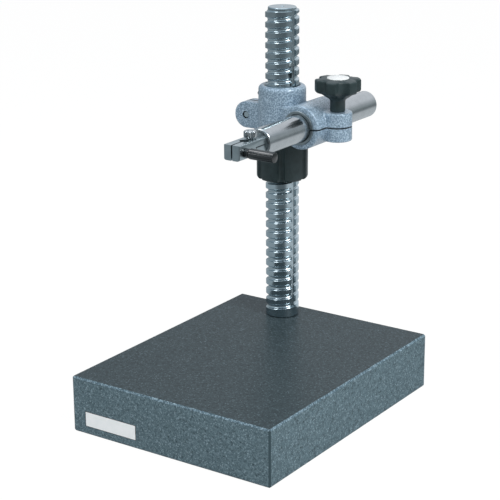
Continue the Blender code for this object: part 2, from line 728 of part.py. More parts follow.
def main():
    clear_scene()
    build_plate()
    build_base_screw()
    build_column()

    carriage = empty_at("carriage_axis", on_column(head_bottom))
    build_head(carriage)
    build_guide_key(carriage)
    build_thrust_washer(carriage)
    nut_axis = empty_at("feed_nut_axis", (0, 0, nut_bottom - head_bottom), carriage)
    build_feed_nut(nut_axis)

    rear_face = (-column_ear_reach, column_ear_width / 2, column_ear_rise)
    backward = (math.radians(-90), 0, 0)
    column_lock = empty_at("column_clamp_axis", rear_face, carriage, backward)
    build_clamp("column_clamp", column_lock, column_knob_neck, column_ear_width - clamp_screw_recess)
    ear_top = (head_reach + arm_ear_reach, -arm_ear_forward, arm_rise + arm_ear_height)
    arm_lock = empty_at("arm_clamp_axis", ear_top, carriage)
    build_clamp("arm_clamp", arm_lock, arm_knob_neck, 2 * arm_ear_height - clamp_screw_recess)

    forward = (math.radians(90), 0, 0)
    arm_axis = empty_at("arm_axis", (head_reach, 0, arm_rise), carriage, forward)
    build_arm(arm_axis)
    fine_axis = empty_at("fine_adjust_axis", (0, holder_above, arm_tip_reach - fine_screw_to_tip), arm_axis,
                         backward)
    build_fine_screw(fine_axis)
    jaw_face = (holder_width / 2, -stem_screw_drop, arm_tip_reach - stem_screw_to_tip)
    stem_axis = empty_at("stem_clamp_axis", jaw_face, arm_axis, (0, math.radians(90), 0))
    build_stem_clamp(stem_axis)
    bpy.context.view_layer.update()


main()
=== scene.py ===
import math

import bmesh
import bpy
from mathutils import Matrix, Vector


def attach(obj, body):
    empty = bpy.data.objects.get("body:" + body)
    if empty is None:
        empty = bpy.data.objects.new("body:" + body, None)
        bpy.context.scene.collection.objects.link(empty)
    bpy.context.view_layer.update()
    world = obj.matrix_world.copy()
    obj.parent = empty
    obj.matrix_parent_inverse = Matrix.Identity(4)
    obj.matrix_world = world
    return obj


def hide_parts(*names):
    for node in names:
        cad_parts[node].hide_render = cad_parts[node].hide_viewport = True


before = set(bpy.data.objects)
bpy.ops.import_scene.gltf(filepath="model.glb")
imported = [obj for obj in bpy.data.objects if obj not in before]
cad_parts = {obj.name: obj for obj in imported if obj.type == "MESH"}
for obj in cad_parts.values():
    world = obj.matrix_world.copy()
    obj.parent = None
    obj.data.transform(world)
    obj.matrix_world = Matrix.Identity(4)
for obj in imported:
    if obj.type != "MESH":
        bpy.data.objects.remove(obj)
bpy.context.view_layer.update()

mm = 0.001


def hexColour(text):  # sRGB hex to linear RGBA
    channels = [int(text[i:i + 2], 16) / 255 for i in (1, 3, 5)]
    return (*[c / 12.92 if c <= 0.04045 else ((c + 0.055) / 1.055) ** 2.4 for c in channels], 1.0)


def addNode(tree, kind, inputs=None, **settings):  # inputs: socket name or number to value or socket
    node = tree.nodes.new(kind)
    for name, value in settings.items():
        setattr(node, name, value)
    for key, value in (inputs or {}).items():
        if isinstance(value, bpy.types.NodeSocket):
            tree.links.new(value, node.inputs[key])
        else:
            node.inputs[key].default_value = value
    return node


def addRamp(tree, factor, stops):  # stops: position and hex colour
    ramp = addNode(tree, "ShaderNodeValToRGB", {"Fac": factor})
    while len(ramp.color_ramp.elements) < len(stops):
        ramp.color_ramp.elements.new(0.5)
    for element, (position, colour) in zip(ramp.color_ramp.elements, stops):
        element.position = position
        element.color = hexColour(colour)
    return ramp.outputs["Color"]


def addRange(tree, value, start=(0.0, 1.0), end=(0.0, 1.0), **settings):  # one span turned into another
    spans = {"Value": value, "From Min": start[0], "From Max": start[1],
             "To Min": end[0], "To Max": end[1]}
    return addNode(tree, "ShaderNodeMapRange", spans, **settings).outputs[0]


def mixColours(tree, share, first, second, **settings):  # each a linear RGBA or a socket
    mix = addNode(tree, "ShaderNodeMix", {0: share, 6: first, 7: second}, data_type="RGBA", **settings)
    return mix.outputs[2]


def addRelief(tree, shader, height, strength, depth):
    bump = addNode(tree, "ShaderNodeBump", {"Height": height, "Strength": strength, "Distance": depth})
    tree.links.new(bump.outputs[0], shader.inputs["Normal"])


def newMaterial(name, **sockets):
    material = bpy.data.materials.new(name)
    material.use_nodes = True
    shader = material.node_tree.nodes["Principled BSDF"]
    for socket, value in sockets.items():
        shader.inputs[socket.replace("_", " ")].default_value = value
    return material, material.node_tree, shader


print("camera")

cameraPlan = {
    "place": (0.736171, -1.071264, 0.564137),
    "turn": math.radians(34.636),
    "drop": math.radians(17.889),
    "roll": math.radians(0.397),
    "lens": 116.22,
    "sensor": 36,
}


def makeCamera(plan):
    a, e, r = plan["turn"], plan["drop"], plan["roll"]
    back = Vector((math.sin(a) * math.cos(e), -math.cos(a) * math.cos(e), math.sin(e)))
    right = Vector((math.cos(a), math.sin(a), 0))
    up = back.cross(right)
    rolledRight = right * math.cos(r) - up * math.sin(r)
    rolledUp = right * math.sin(r) + up * math.cos(r)
    camera = bpy.data.objects.new("camera", bpy.data.cameras.new("camera"))
    bpy.context.scene.collection.objects.link(camera)
    camera.data.lens = plan["lens"]
    camera.data.sensor_width = plan["sensor"]
    turn = Matrix((rolledRight, rolledUp, back)).transposed().to_4x4()
    camera.matrix_world = Matrix.Translation(Vector(plan["place"])) @ turn
    bpy.context.scene.camera = camera


makeCamera(cameraPlan)

print("floor and light")

lightPlan = {
    "lamps": {  # place, width and height in metres, watts
        "keyLamp": ((-0.70, -0.69, 1.63), 0.48, 0.85, 5.8),
        "sideLamp": ((1.12, -0.15, 1.37), 0.60, 0.60, 16),
        "topLamp": ((-0.20, 0.30, 1.90), 1.4, 1.4, 2.4),
        "frontLamp": ((0.92, -1.26, 1.10), 1.4, 1.4, 10.5),
    },
    "softOnly": ("frontLamp",),   # lights paint and stone, but metal doesn't mirror it
    "aim": (0, 0.02, 0.16),
    "floorSize": 8.0,
    "floorDrop": 0.05 * mm,      # so that it doesn't lie in the same plane as the stone's underside
    "floorColour": "#D8D8D8",
    "floorGlow": 0.92,           # share of plain white that the camera sees on the floor
    "floorWhite": 1.05,          # strength of that white, which hides the faint shade on the paper
    "softRoom": "#A2A8AC",       # what paint and stone get from the room
    "room": [(0.0, "#8E989C"), (0.10, "#A8B0B4"), (0.35, "#9CA6AC"), (0.75, "#B2C2D0"), (1.0, "#D4E6F4")],
    # Soft patches: direction, cosines of the angle where one starts and is full, colour
    "backWall": ((-0.08, 0.88, 0.47), 0.72, 0.94, "#E8ECF2"),
    "frontDark": ((0.45, -0.89, 0.0), 0.55, 0.96, "#788286"),
    "brightSide": ((0.75, 0.66, 0.0), -0.1, 0.7),
    "floorBright": "#D0D6DA",    # what metal sees of the floor, at the right and back, left and front
    "floorSide": "#A4AEB4",
    "floorFront": "#6A7276",
    "floorFar": "#838B8F",
    "farFrom": (0.7, 1.5),       # metres from the middle where the floor falls off
}


def directionShare(tree, direction, plan):  # how far a direction lies within a soft round patch
    towards, start, full = plan[:3]
    dot = addNode(tree, "ShaderNodeVectorMath", {0: direction, 1: Vector(towards).normalized()},
                  operation="DOT_PRODUCT")
    return addRange(tree, dot.outputs["Value"], (start, full), interpolation_type="SMOOTHSTEP")


def makeFloor(plan):
    bm = bmesh.new()
    bmesh.ops.create_grid(bm, x_segments=1, y_segments=1, size=plan["floorSize"] / 2)
    mesh = bpy.data.meshes.new("floor")
    bm.to_mesh(mesh)
    bm.free()
    floor = bpy.data.objects.new("floor", mesh)
    bpy.context.scene.collection.objects.link(floor)
    floor.location = (0, 0, -plan["floorDrop"])
    material = bpy.data.materials.new("paleFloor")  # matt paper sweep
    material.use_nodes = True
    tree = material.node_tree
    tree.nodes.clear()
    paper = addNode(tree, "ShaderNodeBsdfDiffuse", {"Color": hexColour(plan["floorColour"])})
    white = addNode(tree, "ShaderNodeEmission", {"Color": (1, 1, 1, 1), "Strength": plan["floorWhite"]})
    rays = addNode(tree, "ShaderNodeLightPath")
    glow = addNode(tree, "ShaderNodeMath", {0: rays.outputs["Is Camera Ray"], 1: plan["floorGlow"]},
                   operation="MULTIPLY")
    seen = addNode(tree, "ShaderNodeMixShader", {0: glow.outputs[0], 1: paper.outputs[0],
                                                 2: white.outputs[0]})
    # Metal and gloss see the sweep as it falls off towards the unlit front and the far end of the room
    spot = addNode(tree, "ShaderNodeTexCoord").outputs["Object"]
    way = addNode(tree, "ShaderNodeVectorMath", {0: spot}, operation="NORMALIZE")
    bright = directionShare(tree, way.outputs[0], plan["brightSide"])
    reach = addNode(tree, "ShaderNodeVectorMath", {0: spot}, operation="LENGTH")
    far = addRange(tree, reach.outputs["Value"], plan["farFrom"], interpolation_type="SMOOTHSTEP")
    front = directionShare(tree, way.outputs[0], plan["frontDark"])
    tone = hexColour(plan["floorSide"])
    for share, colour in ((bright, "floorBright"), (far, "floorFar"), (front, "floorFront")):
        tone = mixColours(tree, share, tone, hexColour(plan[colour]))
    mirrored = addNode(tree, "ShaderNodeEmission", {"Color": tone, "Strength": 1.0})
    glossy = addNode(tree, "ShaderNodeMixShader", {0: rays.outputs["Is Glossy Ray"], 1: seen.outputs[0],
                                                   2: mirrored.outputs[0]})
    below = addNode(tree, "ShaderNodeNewGeometry").outputs["Backfacing"]  # clear when seen from below
    through = addNode(tree, "ShaderNodeBsdfTransparent")
    whole = addNode(tree, "ShaderNodeMixShader", {0: below, 1: glossy.outputs[0], 2: through.outputs[0]})
    addNode(tree, "ShaderNodeOutputMaterial", {"Surface": whole.outputs[0]})
    floor.data.materials.append(material)


def makeRoom(plan):
    world = bpy.data.worlds.new("studio")
    bpy.context.scene.world = world
    world.use_nodes = True
    tree = world.node_tree
    tree.nodes.clear()
    rays = addNode(tree, "ShaderNodeLightPath")
    way = addNode(tree, "ShaderNodeTexCoord").outputs["Generated"]
    height = addNode(tree, "ShaderNodeSeparateXYZ", {0: way}).outputs["Z"]
    room = addRamp(tree, height, plan["room"])
    for patch in (plan["backWall"], plan["frontDark"]):
        room = mixColours(tree, directionShare(tree, way, patch), room, hexColour(patch[3]))
    lit = addNode(tree, "ShaderNodeBackground", {"Color": room, "Strength": 1.0})
    soft = addNode(tree, "ShaderNodeBackground", {"Color": hexColour(plan["softRoom"]), "Strength": 1.0})
    white = addNode(tree, "ShaderNodeBackground", {"Color": (1, 1, 1, 1), "Strength": 1.0})
    mixed = addNode(tree, "ShaderNodeMixShader", {0: rays.outputs["Is Glossy Ray"], 1: soft.outputs[0],
                                                  2: lit.outputs[0]})
    mixed = addNode(tree, "ShaderNodeMixShader", {0: rays.outputs["Is Camera Ray"], 1: mixed.outputs[0],
                                                  2: white.outputs[0]})
    addNode(tree, "ShaderNodeOutputWorld", {"Surface": mixed.outputs[0]})


def makeLamps(plan):
    for name, (place, width, height, watts) in plan["lamps"].items():
        lamp = bpy.data.lights.new(name, "AREA")
        lamp.shape = "RECTANGLE"
        lamp.size, lamp.size_y = width, height
        lamp.energy = watts
        holder = bpy.data.objects.new(name, lamp)
        bpy.context.scene.collection.objects.link(holder)
        holder.location = place
        holder.rotation_euler = (Vector(place) - Vector(plan["aim"])).to_track_quat("Z", "Y").to_euler()
        holder.visible_glossy = name not in plan["softOnly"]
    bpy.context.scene.view_settings.view_transform = "Standard"


makeFloor(lightPlan)
makeRoom(lightPlan)
makeLamps(lightPlan)

print("materials")


def makeGroundGranite():
    # Dark fine-grained granite: grey feldspar grains with a few light and black flecks. The top is lapped
    # to a dull sheen and looks darker, the sides are only ground and look paler, the arrises are frayed
    # and paler, partly as a painted highlight, and the upright arrises carry a painted shade.
    grain, fleck, chip = 0.9 * mm, 2.6 * mm, 1.6 * mm
    topSpan = (0.90, 0.98)       # the normal's Z where the top's look starts and is full
    arrisZ, arrisSpan = 0.7, (0.28, 0.1)         # the arrises' own Z, and how far from it they fade
    uprightShadeSpan = (0.2, 0.33)     # X times Y of the normal, large only on the upright arrises
    material, tree, shader = newMaterial("groundGranite", Specular_IOR_Level=0.15)
    place = addNode(tree, "ShaderNodeTexCoord").outputs["Object"]
    cells = addNode(tree, "ShaderNodeTexVoronoi", {"Vector": place, "Scale": 1 / grain})
    value = addNode(tree, "ShaderNodeSeparateColor", {0: cells.outputs["Color"]}).outputs[0]
    top = addRamp(tree, value, [(0.0, "#2E383C"), (0.5, "#364246"), (0.9, "#3F4B50"), (1.0, "#5F6E74")])
    side = addRamp(tree, value, [(0.0, "#4E6067"), (0.45, "#5F737B"), (0.88, "#6C8189"),
                                 (1.0, "#889CA5")])
    # The arrises' tone: frayed ground stone, its bright end a painted highlight along the chamfers
    arrisToneAndHighlight = addRamp(tree, value, [(0.0, "#4C5E66"), (0.5, "#5E7480"), (1.0, "#92A8B4")])
    normal = addNode(tree, "ShaderNodeNewGeometry").outputs["True Normal"]
    facing = addNode(tree, "ShaderNodeSeparateXYZ", {0: normal}).outputs
    level = addRange(tree, facing["Z"], topSpan)
    slope = addNode(tree, "ShaderNodeMath", {0: facing["Z"], 1: arrisZ}, operation="SUBTRACT")
    steep = addNode(tree, "ShaderNodeMath", {0: slope.outputs[0]}, operation="ABSOLUTE")
    edge = addRange(tree, steep.outputs[0], arrisSpan)
    # Mixed in where the normal's Z is near the arrises' own: frayed stone with a painted highlight
    tone = mixColours(tree, edge, mixColours(tree, level, side, top), arrisToneAndHighlight)
    clouds = addNode(tree, "ShaderNodeTexNoise", {"Vector": place, "Scale": 1 / fleck, "Detail": 4.0,
                                                  "Roughness": 0.65})
    dark = addRamp(tree, clouds.outputs[0], [(0.28, "#A8A8A8"), (0.5, "#FFFFFF")])
    tone = mixColours(tree, 1.0, tone, dark, blend_type="MULTIPLY")
    # Painted shade: a dark line down the upright arrises, where X times Y of the normal is large
    across = addNode(tree, "ShaderNodeMath", {0: facing["X"], 1: facing["Y"]}, operation="MULTIPLY")
    upright = addNode(tree, "ShaderNodeMath", {0: across.outputs[0]}, operation="ABSOLUTE")
    corner = addRange(tree, upright.outputs[0], uprightShadeSpan)
    tone = mixColours(tree, corner, tone, hexColour("#3A4A50"))
    tree.links.new(tone, shader.inputs["Base Color"])
    tree.links.new(addRange(tree, level, end=(0.66, 0.40)), shader.inputs["Roughness"])
    fray = addNode(tree, "ShaderNodeTexNoise", {"Vector": place, "Scale": 1 / chip, "Detail": 3.0})
    depth = addNode(tree, "ShaderNodeMix", {0: level, 2: fray.outputs[0], 3: 0.5})
    addRelief(tree, shader, depth.outputs[0], 0.35, 0.15 * mm)
    return material


def makeHammertone():
    # Silver-blue hammertone enamel: the metal-flake lacquer draws into small dimples with paler rims,
    # so that the surface sparkles where it turns to the light
    dimple, flake = 1.25 * mm, 0.5 * mm
    material, tree, shader = newMaterial("hammertoneEnamel", Metallic=0.15, Roughness=0.4,
                                         Coat_Weight=0.6, Coat_Roughness=0.1)
    place = addNode(tree, "ShaderNodeTexCoord").outputs["Object"]
    warp = addNode(tree, "ShaderNodeTexNoise", {"Vector": place, "Scale": 1 / (3 * dimple),
                                                "Detail": 2.0})
    bent = addNode(tree, "ShaderNodeVectorMath", {0: warp.outputs["Color"], 1: (dimple,) * 3},
                   operation="MULTIPLY")
    shifted = addNode(tree, "ShaderNodeVectorMath", {0: place, 1: bent.outputs[0]}, operation="ADD")
    cells = addNode(tree, "ShaderNodeTexVoronoi", {"Vector": shifted.outputs[0], "Scale": 1 / dimple,
                                                   "Smoothness": 0.5}, feature="SMOOTH_F1")
    colour = addRamp(tree, cells.outputs["Distance"], [(0.10, "#708698"), (0.40, "#869CAE"),
                                                       (0.70, "#B2C8D8")])
    flakes = addNode(tree, "ShaderNodeTexVoronoi", {"Vector": place, "Scale": 1 / flake})
    spark = addNode(tree, "ShaderNodeSeparateColor", {0: flakes.outputs["Color"]}).outputs[0]
    glint = addRamp(tree, spark, [(0.0, "#CCD2D8"), (0.7, "#FFFFFF")])
    tint = mixColours(tree, 1.0, colour, glint, blend_type="MULTIPLY")
    tree.links.new(tint, shader.inputs["Base Color"])
    addRelief(tree, shader, cells.outputs["Distance"], 0.5, 0.25 * mm)
    return material


def makeFinish(name, colours, roughness, drift, grain, detail, strength, depth, **sockets):
    # The colour drifts over some millimetres, and a fine relief also varies the gloss
    material, tree, shader = newMaterial(name, **sockets)
    place = addNode(tree, "ShaderNodeTexCoord").outputs["Object"]
    wide = addNode(tree, "ShaderNodeTexNoise", {"Vector": place, "Scale": 1 / drift, "Detail": 2.0})
    tint = addRamp(tree, wide.outputs[0], [(0.3, colours[0]), (0.7, colours[1])])
    tree.links.new(tint, shader.inputs["Base Color"])
    fine = addNode(tree, "ShaderNodeTexNoise", {"Vector": place, "Scale": 1 / grain, "Detail": detail})
    tree.links.new(addRange(tree, fine.outputs[0], end=roughness), shader.inputs["Roughness"])
    addRelief(tree, shader, fine.outputs[0], strength, depth)
    return material


def makeTurnedMetal(name, colours, roughness, ridge, depth):  # ridge and depth in mm
    # Fine turning or grinding marks, far closer together than one pixel, drawn as a faint relief
    return makeFinish(name, colours, roughness, 8 * mm, ridge * mm, 3.0, 0.15, depth * mm, Metallic=1.0)


def makeMouldedPlastic(name, colours, roughness, texture, **gloss):  # texture in mm
    # Moulded plastic with the fine eroded texture of its mould
    return makeFinish(name, colours, roughness, 6 * mm, texture * mm, 2.0, 0.2, 0.05 * mm, IOR=1.5,
                      **gloss)


groundGranite = makeGroundGranite()
hammertone = makeHammertone()
platedSteel = makeTurnedMetal("brightPlatedSteel", ("#B4C2C8", "#C4D2D8"), (0.12, 0.2), 0.5, 0.006)
milledSteel = makeTurnedMetal("milledSteel", ("#AAB6BA", "#B6C2C6"), (0.24, 0.34), 0.6, 0.02)
darkSteel = makeTurnedMetal("blackenedSteel", ("#3A3A3C", "#4A4A4C"), (0.32, 0.45), 0.5, 0.02)
machinedIron = makeTurnedMetal("machinedCastIron", ("#98A2A6", "#A6B0B4"), (0.30, 0.42), 0.6, 0.03)
hardChrome = makeTurnedMetal("groundHardChrome", ("#BCC0C2", "#C4C8CA"), (0.16, 0.24), 0.4, 0.004)
turnedBrass = makeTurnedMetal("turnedBrass", ("#B8975A", "#C8AA6E"), (0.22, 0.34), 0.4, 0.02)
blackPlastic = makeMouldedPlastic("mouldedBlackPlastic", ("#1F2E2F", "#29383A"), (0.36, 0.48), 0.4)
glossPlastic = makeMouldedPlastic("glossBlackPlastic", ("#0A0D0E", "#101415"), (0.12, 0.18), 0.5,
                                  Specular_IOR_Level=1.0)
whitePlastic = makeMouldedPlastic("mouldedWhiteCap", ("#DEE0E0", "#E6E8E8"), (0.2, 0.3), 0.6)
labelFilm = makeMouldedPlastic("whiteLabelFilm", ("#F2F5F5", "#F8F9F9"), (0.3, 0.4), 1.0)
labelInk = makeMouldedPlastic("darkLabelInk", ("#1E2224", "#24282A"), (0.35, 0.45), 1.0)

print("shapes")


def arcPoints(centre, radius, start, end, steps=6):  # angles in degrees
    turns = [math.radians(start + (end - start) * step / steps) for step in range(steps + 1)]
    return [(centre[0] + radius * math.cos(turn), centre[1] + radius * math.sin(turn)) for turn in turns]


def lathe(profile, sides=96, reach=None):  # (radius, height) points about Z, a ring if off the axis
    bm = bmesh.new()
    rings = []
    for radius, height in profile:
        if radius == 0:
            rings.append([bm.verts.new((0, 0, height))])
            continue
        turns = [2 * math.pi * side / sides for side in range(sides)]
        spans = [reach(radius, turn) if reach else radius for turn in turns]
        rings.append([bm.verts.new((span * math.cos(turn), span * math.sin(turn), height))
                      for span, turn in zip(spans, turns)])
    pairs = list(zip(rings, rings[1:]))
    if profile[0][0] and profile[-1][0]:
        pairs.append((rings[-1], rings[0]))
    for low, high in pairs:
        for side in range(sides):
            after = (side + 1) % sides
            corners = [low[side % len(low)], low[after % len(low)], high[after % len(high)],
                       high[side % len(high)]]
            unique = list(dict.fromkeys(corners))
            if len(unique) > 2:
                bm.faces.new(unique)
    return closed(bm)


def closed(bm):
    bmesh.ops.recalc_face_normals(bm, faces=bm.faces)
    return bm


def prism(outline, low, high):
    bm = bmesh.new()
    face = bm.faces.new([bm.verts.new((x, y, low)) for x, y in outline])
    made = bmesh.ops.extrude_face_region(bm, geom=[face])
    top = [item for item in made["geom"] if isinstance(item, bmesh.types.BMVert)]
    bmesh.ops.translate(bm, verts=top, vec=Vector((0, 0, high - low)))
    return closed(bm)


def block(low, high):
    outline = [(low[0], low[1]), (high[0], low[1]), (high[0], high[1]), (low[0], high[1])]
    return prism(outline, low[2], high[2])


def moved(bm, place=(0, 0, 0), turn=(0, 0, 0)):  # turn in degrees about X, Y and Z
    angles = [math.radians(angle) for angle in turn]
    rotation = (Matrix.Rotation(angles[2], 4, "Z") @ Matrix.Rotation(angles[1], 4, "Y")
                @ Matrix.Rotation(angles[0], 4, "X"))
    bmesh.ops.transform(bm, matrix=Matrix.Translation(Vector(place)) @ rotation, verts=bm.verts)
    return bm


def heaped(shapes):  # several closed shapes in one
    whole = bmesh.new()
    for shape in shapes:
        mesh = bpy.data.meshes.new("part")
        shape.to_mesh(mesh)
        shape.free()
        whole.from_mesh(mesh)
        bpy.data.meshes.remove(mesh)
    return whole


def tool(name, bm, materials=(), finish=0):  # an object in mm that only takes part in making a piece
    for face in bm.faces:
        face.material_index = finish
    mesh = bpy.data.meshes.new(name)
    bm.to_mesh(mesh)
    bm.free()
    for material in materials:
        mesh.materials.append(material)
    item = bpy.data.objects.new(name, mesh)
    bpy.context.scene.collection.objects.link(item)
    return item


def combine(item, other, operation="DIFFERENCE"):
    step = item.modifiers.new(other.name, "BOOLEAN")
    step.object = other
    step.operation = operation
    step.solver = "MANIFOLD"


def settled(item, helpers=()):  # the finished shape in metres; the objects in mm go
    seen = item.evaluated_get(bpy.context.evaluated_depsgraph_get())
    mesh = bpy.data.meshes.new_from_object(seen)
    mesh.transform(Matrix.Scale(mm, 4))
    for thing in (item, *helpers):
        bpy.data.objects.remove(thing, do_unlink=True)
    return mesh


def placePiece(name, mesh, materials, body, replaces=(), smooth=32):
    mesh.name = name
    piece = bpy.data.objects.new(name, mesh)
    bpy.context.scene.collection.objects.link(piece)
    finishes = [face.material_index for face in mesh.polygons]
    mesh.materials.clear()       # this turns every face's index to 0
    for material in materials:
        mesh.materials.append(material)
    mesh.polygons.foreach_set("material_index", finishes)
    mesh.shade_smooth()
    mesh.set_sharp_from_angle(angle=math.radians(smooth))
    if replaces:
        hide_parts(*replaces)
    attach(piece, body)
    return piece


def roundEdges(piece, width, segments=2, angle=32):
    bevel = piece.modifiers.new("roundedEdges", "BEVEL")
    bevel.width = width
    bevel.segments = segments
    bevel.limit_method = "ANGLE"
    bevel.angle_limit = math.radians(angle)
    bevel.harden_normals = True


def merged(mesh):  # doubles joined and flat neighbours made one face
    bm = bmesh.new()
    bm.from_mesh(mesh)
    bmesh.ops.remove_doubles(bm, verts=bm.verts, dist=0.01 * mm)
    bmesh.ops.dissolve_limit(bm, angle_limit=math.radians(0.5), verts=bm.verts, edges=bm.edges)
    result = bpy.data.meshes.new(mesh.name)
    bm.to_mesh(result)
    bm.free()
    return result


def scooped(radius, count, scoopRadius, scoopDepth, edge):  # hollows that keep the edges' rounding
    period = 2 * math.pi / count
    centre = radius - scoopDepth + scoopRadius

    def reach(span, turn):
        offset = (turn + period / 2) % period - period / 2
        across = centre * math.sin(offset)
        far = radius
        if abs(across) < scoopRadius:
            far = min(radius, centre * math.cos(offset) - math.sqrt(scoopRadius ** 2 - across ** 2))
        return min(span, far - min(edge, radius - span))

    return reach


def knurled(radius, count, depth):  # straight teeth on the radius, fading on smaller ones
    def reach(span, turn):
        wave = abs((turn * count / (2 * math.pi)) % 1 - 0.5) * 2
        return min(span, radius - depth * wave)

    return reach


print("threads by geometry nodes")

threadPlan = {  # mm; both the column's round groove and the feed nut's ridge follow it
    "axis": (-37.4, 100.6, 0.0),
    "pitch": 9.1,
    "datum": 62.4,               # height of a groove's middle on the +X side
    "steps": 120,                # sections in a turn
    "profileSides": 22,
}


def makeThreadTree(name, operation, brokenEdge):
    tree = bpy.data.node_groups.new(name, "GeometryNodeTree")
    socket = tree.interface.new_socket
    socket("Blank", in_out="INPUT", socket_type="NodeSocketGeometry")
    for label in ("Start Turn", "Pitch", "Turns", "Path Radius", "Profile Radius", "Edge Path Radius",
                  "Edge Profile Radius"):
        socket(label, in_out="INPUT", socket_type="NodeSocketFloat")
    socket("Foot", in_out="INPUT", socket_type="NodeSocketVector")
    for label in ("Steps", "Profile Sides"):
        socket(label, in_out="INPUT", socket_type="NodeSocketInt")
    socket("Finish", in_out="INPUT", socket_type="NodeSocketMaterial")
    socket("Piece", in_out="OUTPUT", socket_type="NodeSocketGeometry")
    sizes = addNode(tree, "NodeGroupInput").outputs
    rise = addNode(tree, "ShaderNodeMath", {0: sizes["Pitch"], 1: sizes["Turns"]}, operation="MULTIPLY")
    angles = addNode(tree, "ShaderNodeCombineXYZ", {"Z": sizes["Start Turn"]})
    start = addNode(tree, "FunctionNodeEulerToRotation", {0: angles.outputs[0]})
    tools = []
    for path, radius in (("Path Radius", "Profile Radius"), ("Edge Path Radius", "Edge Profile Radius")):
        if path.startswith("Edge") and not brokenEdge:
            continue
        spiral = addNode(tree, "GeometryNodeCurveSpiral", {
            "Resolution": sizes["Steps"], "Rotations": sizes["Turns"], "Start Radius": sizes[path],
            "End Radius": sizes[path], "Height": rise.outputs[0], "Reverse": True})
        placed = addNode(tree, "GeometryNodeTransform", {
            "Geometry": spiral.outputs[0], "Translation": sizes["Foot"], "Rotation": start.outputs[0]})
        upright = addNode(tree, "GeometryNodeSetCurveNormal", {"Curve": placed.outputs[0]}, mode="Z_UP")
        ring = addNode(tree, "GeometryNodeCurvePrimitiveCircle", {
            "Resolution": sizes["Profile Sides"], "Radius": sizes[radius]})
        swept = addNode(tree, "GeometryNodeCurveToMesh", {
            "Curve": upright.outputs[0], "Profile Curve": ring.outputs[0], "Fill Caps": True})
        tools.append(swept.outputs[0])
    made = addNode(tree, "GeometryNodeMeshBoolean", operation=operation, solver="MANIFOLD")
    tree.links.new(sizes["Blank"], made.inputs["Mesh 1" if operation == "DIFFERENCE" else "Mesh 2"])
    for shape in tools:
        tree.links.new(shape, made.inputs["Mesh 2"])
    real = addNode(tree, "GeometryNodeRealizeInstances", {"Geometry": made.outputs[0]})
    finished = addNode(tree, "GeometryNodeSetMaterial", {
        "Geometry": real.outputs[0], "Material": sizes["Finish"]})
    out = addNode(tree, "NodeGroupOutput")
    tree.links.new(finished.outputs[0], out.inputs["Piece"])
    return tree


def shapedByTree(item, tree, values, cutters=()):  # inputs are set by their sockets' identifiers
    step = item.modifiers.new(tree.name, "NODES")
    step.node_group = tree
    for socket in tree.interface.items_tree:
        if socket.in_out == "INPUT" and socket.name in values:
            step[socket.identifier] = values[socket.name]
    for cutter in cutters:
        combine(item, cutter)
    return settled(item, cutters)


def helixAt(height):  # the section at or above a height: its turn and its own height
    rise = threadPlan["pitch"] / threadPlan["steps"]
    step = math.ceil((height - threadPlan["datum"]) / rise)
    return 2 * math.pi * step / threadPlan["steps"], threadPlan["datum"] + rise * step


columnPlan = {  # mm
    "radius": 15.0,
    "foot": 50.3,
    "top": 334.0,
    "edge": 0.6,
    "neckLength": 2.5,
    "neckRadius": 12.6,
    "grooveFoot": 56.9,          # middle of the groove where it starts
    "tap": (6.3, 78.3, 81.3),    # radius, end of its bore and of the drill's point
    "centreDrill": (2.0, 1.8),
    "grooveRadius": 2.15,
    "groovePath": 14.95,
    "edgePath": 17.146,          # a second, wider sweep breaks the groove's edges by 0.3 mm
    "edgeRadius": 3.234,
    "keywayWidth": 5.0,
    "keywayFloor": 12.3,
    "keywayFillet": 2.0,
    "keywayFoot": 59.0,
    "keywayPast": 1.0,           # how far its cutter goes on above the column's top
    "keywayTurn": -12.0,
    "keyGap": 0.3,
    "key": (17.6, 227.0, 257.0), # the guide key's reach, low and high end
    "keyEdge": 0.2,
    "overrun": 3.0,
    "grooveEnd": 338.0,
}


def keyOutline(floor, reach, half, fillet):  # round in its two inner corners
    return (arcPoints((floor + fillet, half - fillet), fillet, 90, 180, 8)
            + arcPoints((floor + fillet, fillet - half), fillet, 180, 270, 8)
            + [(reach, -half), (reach, half)])


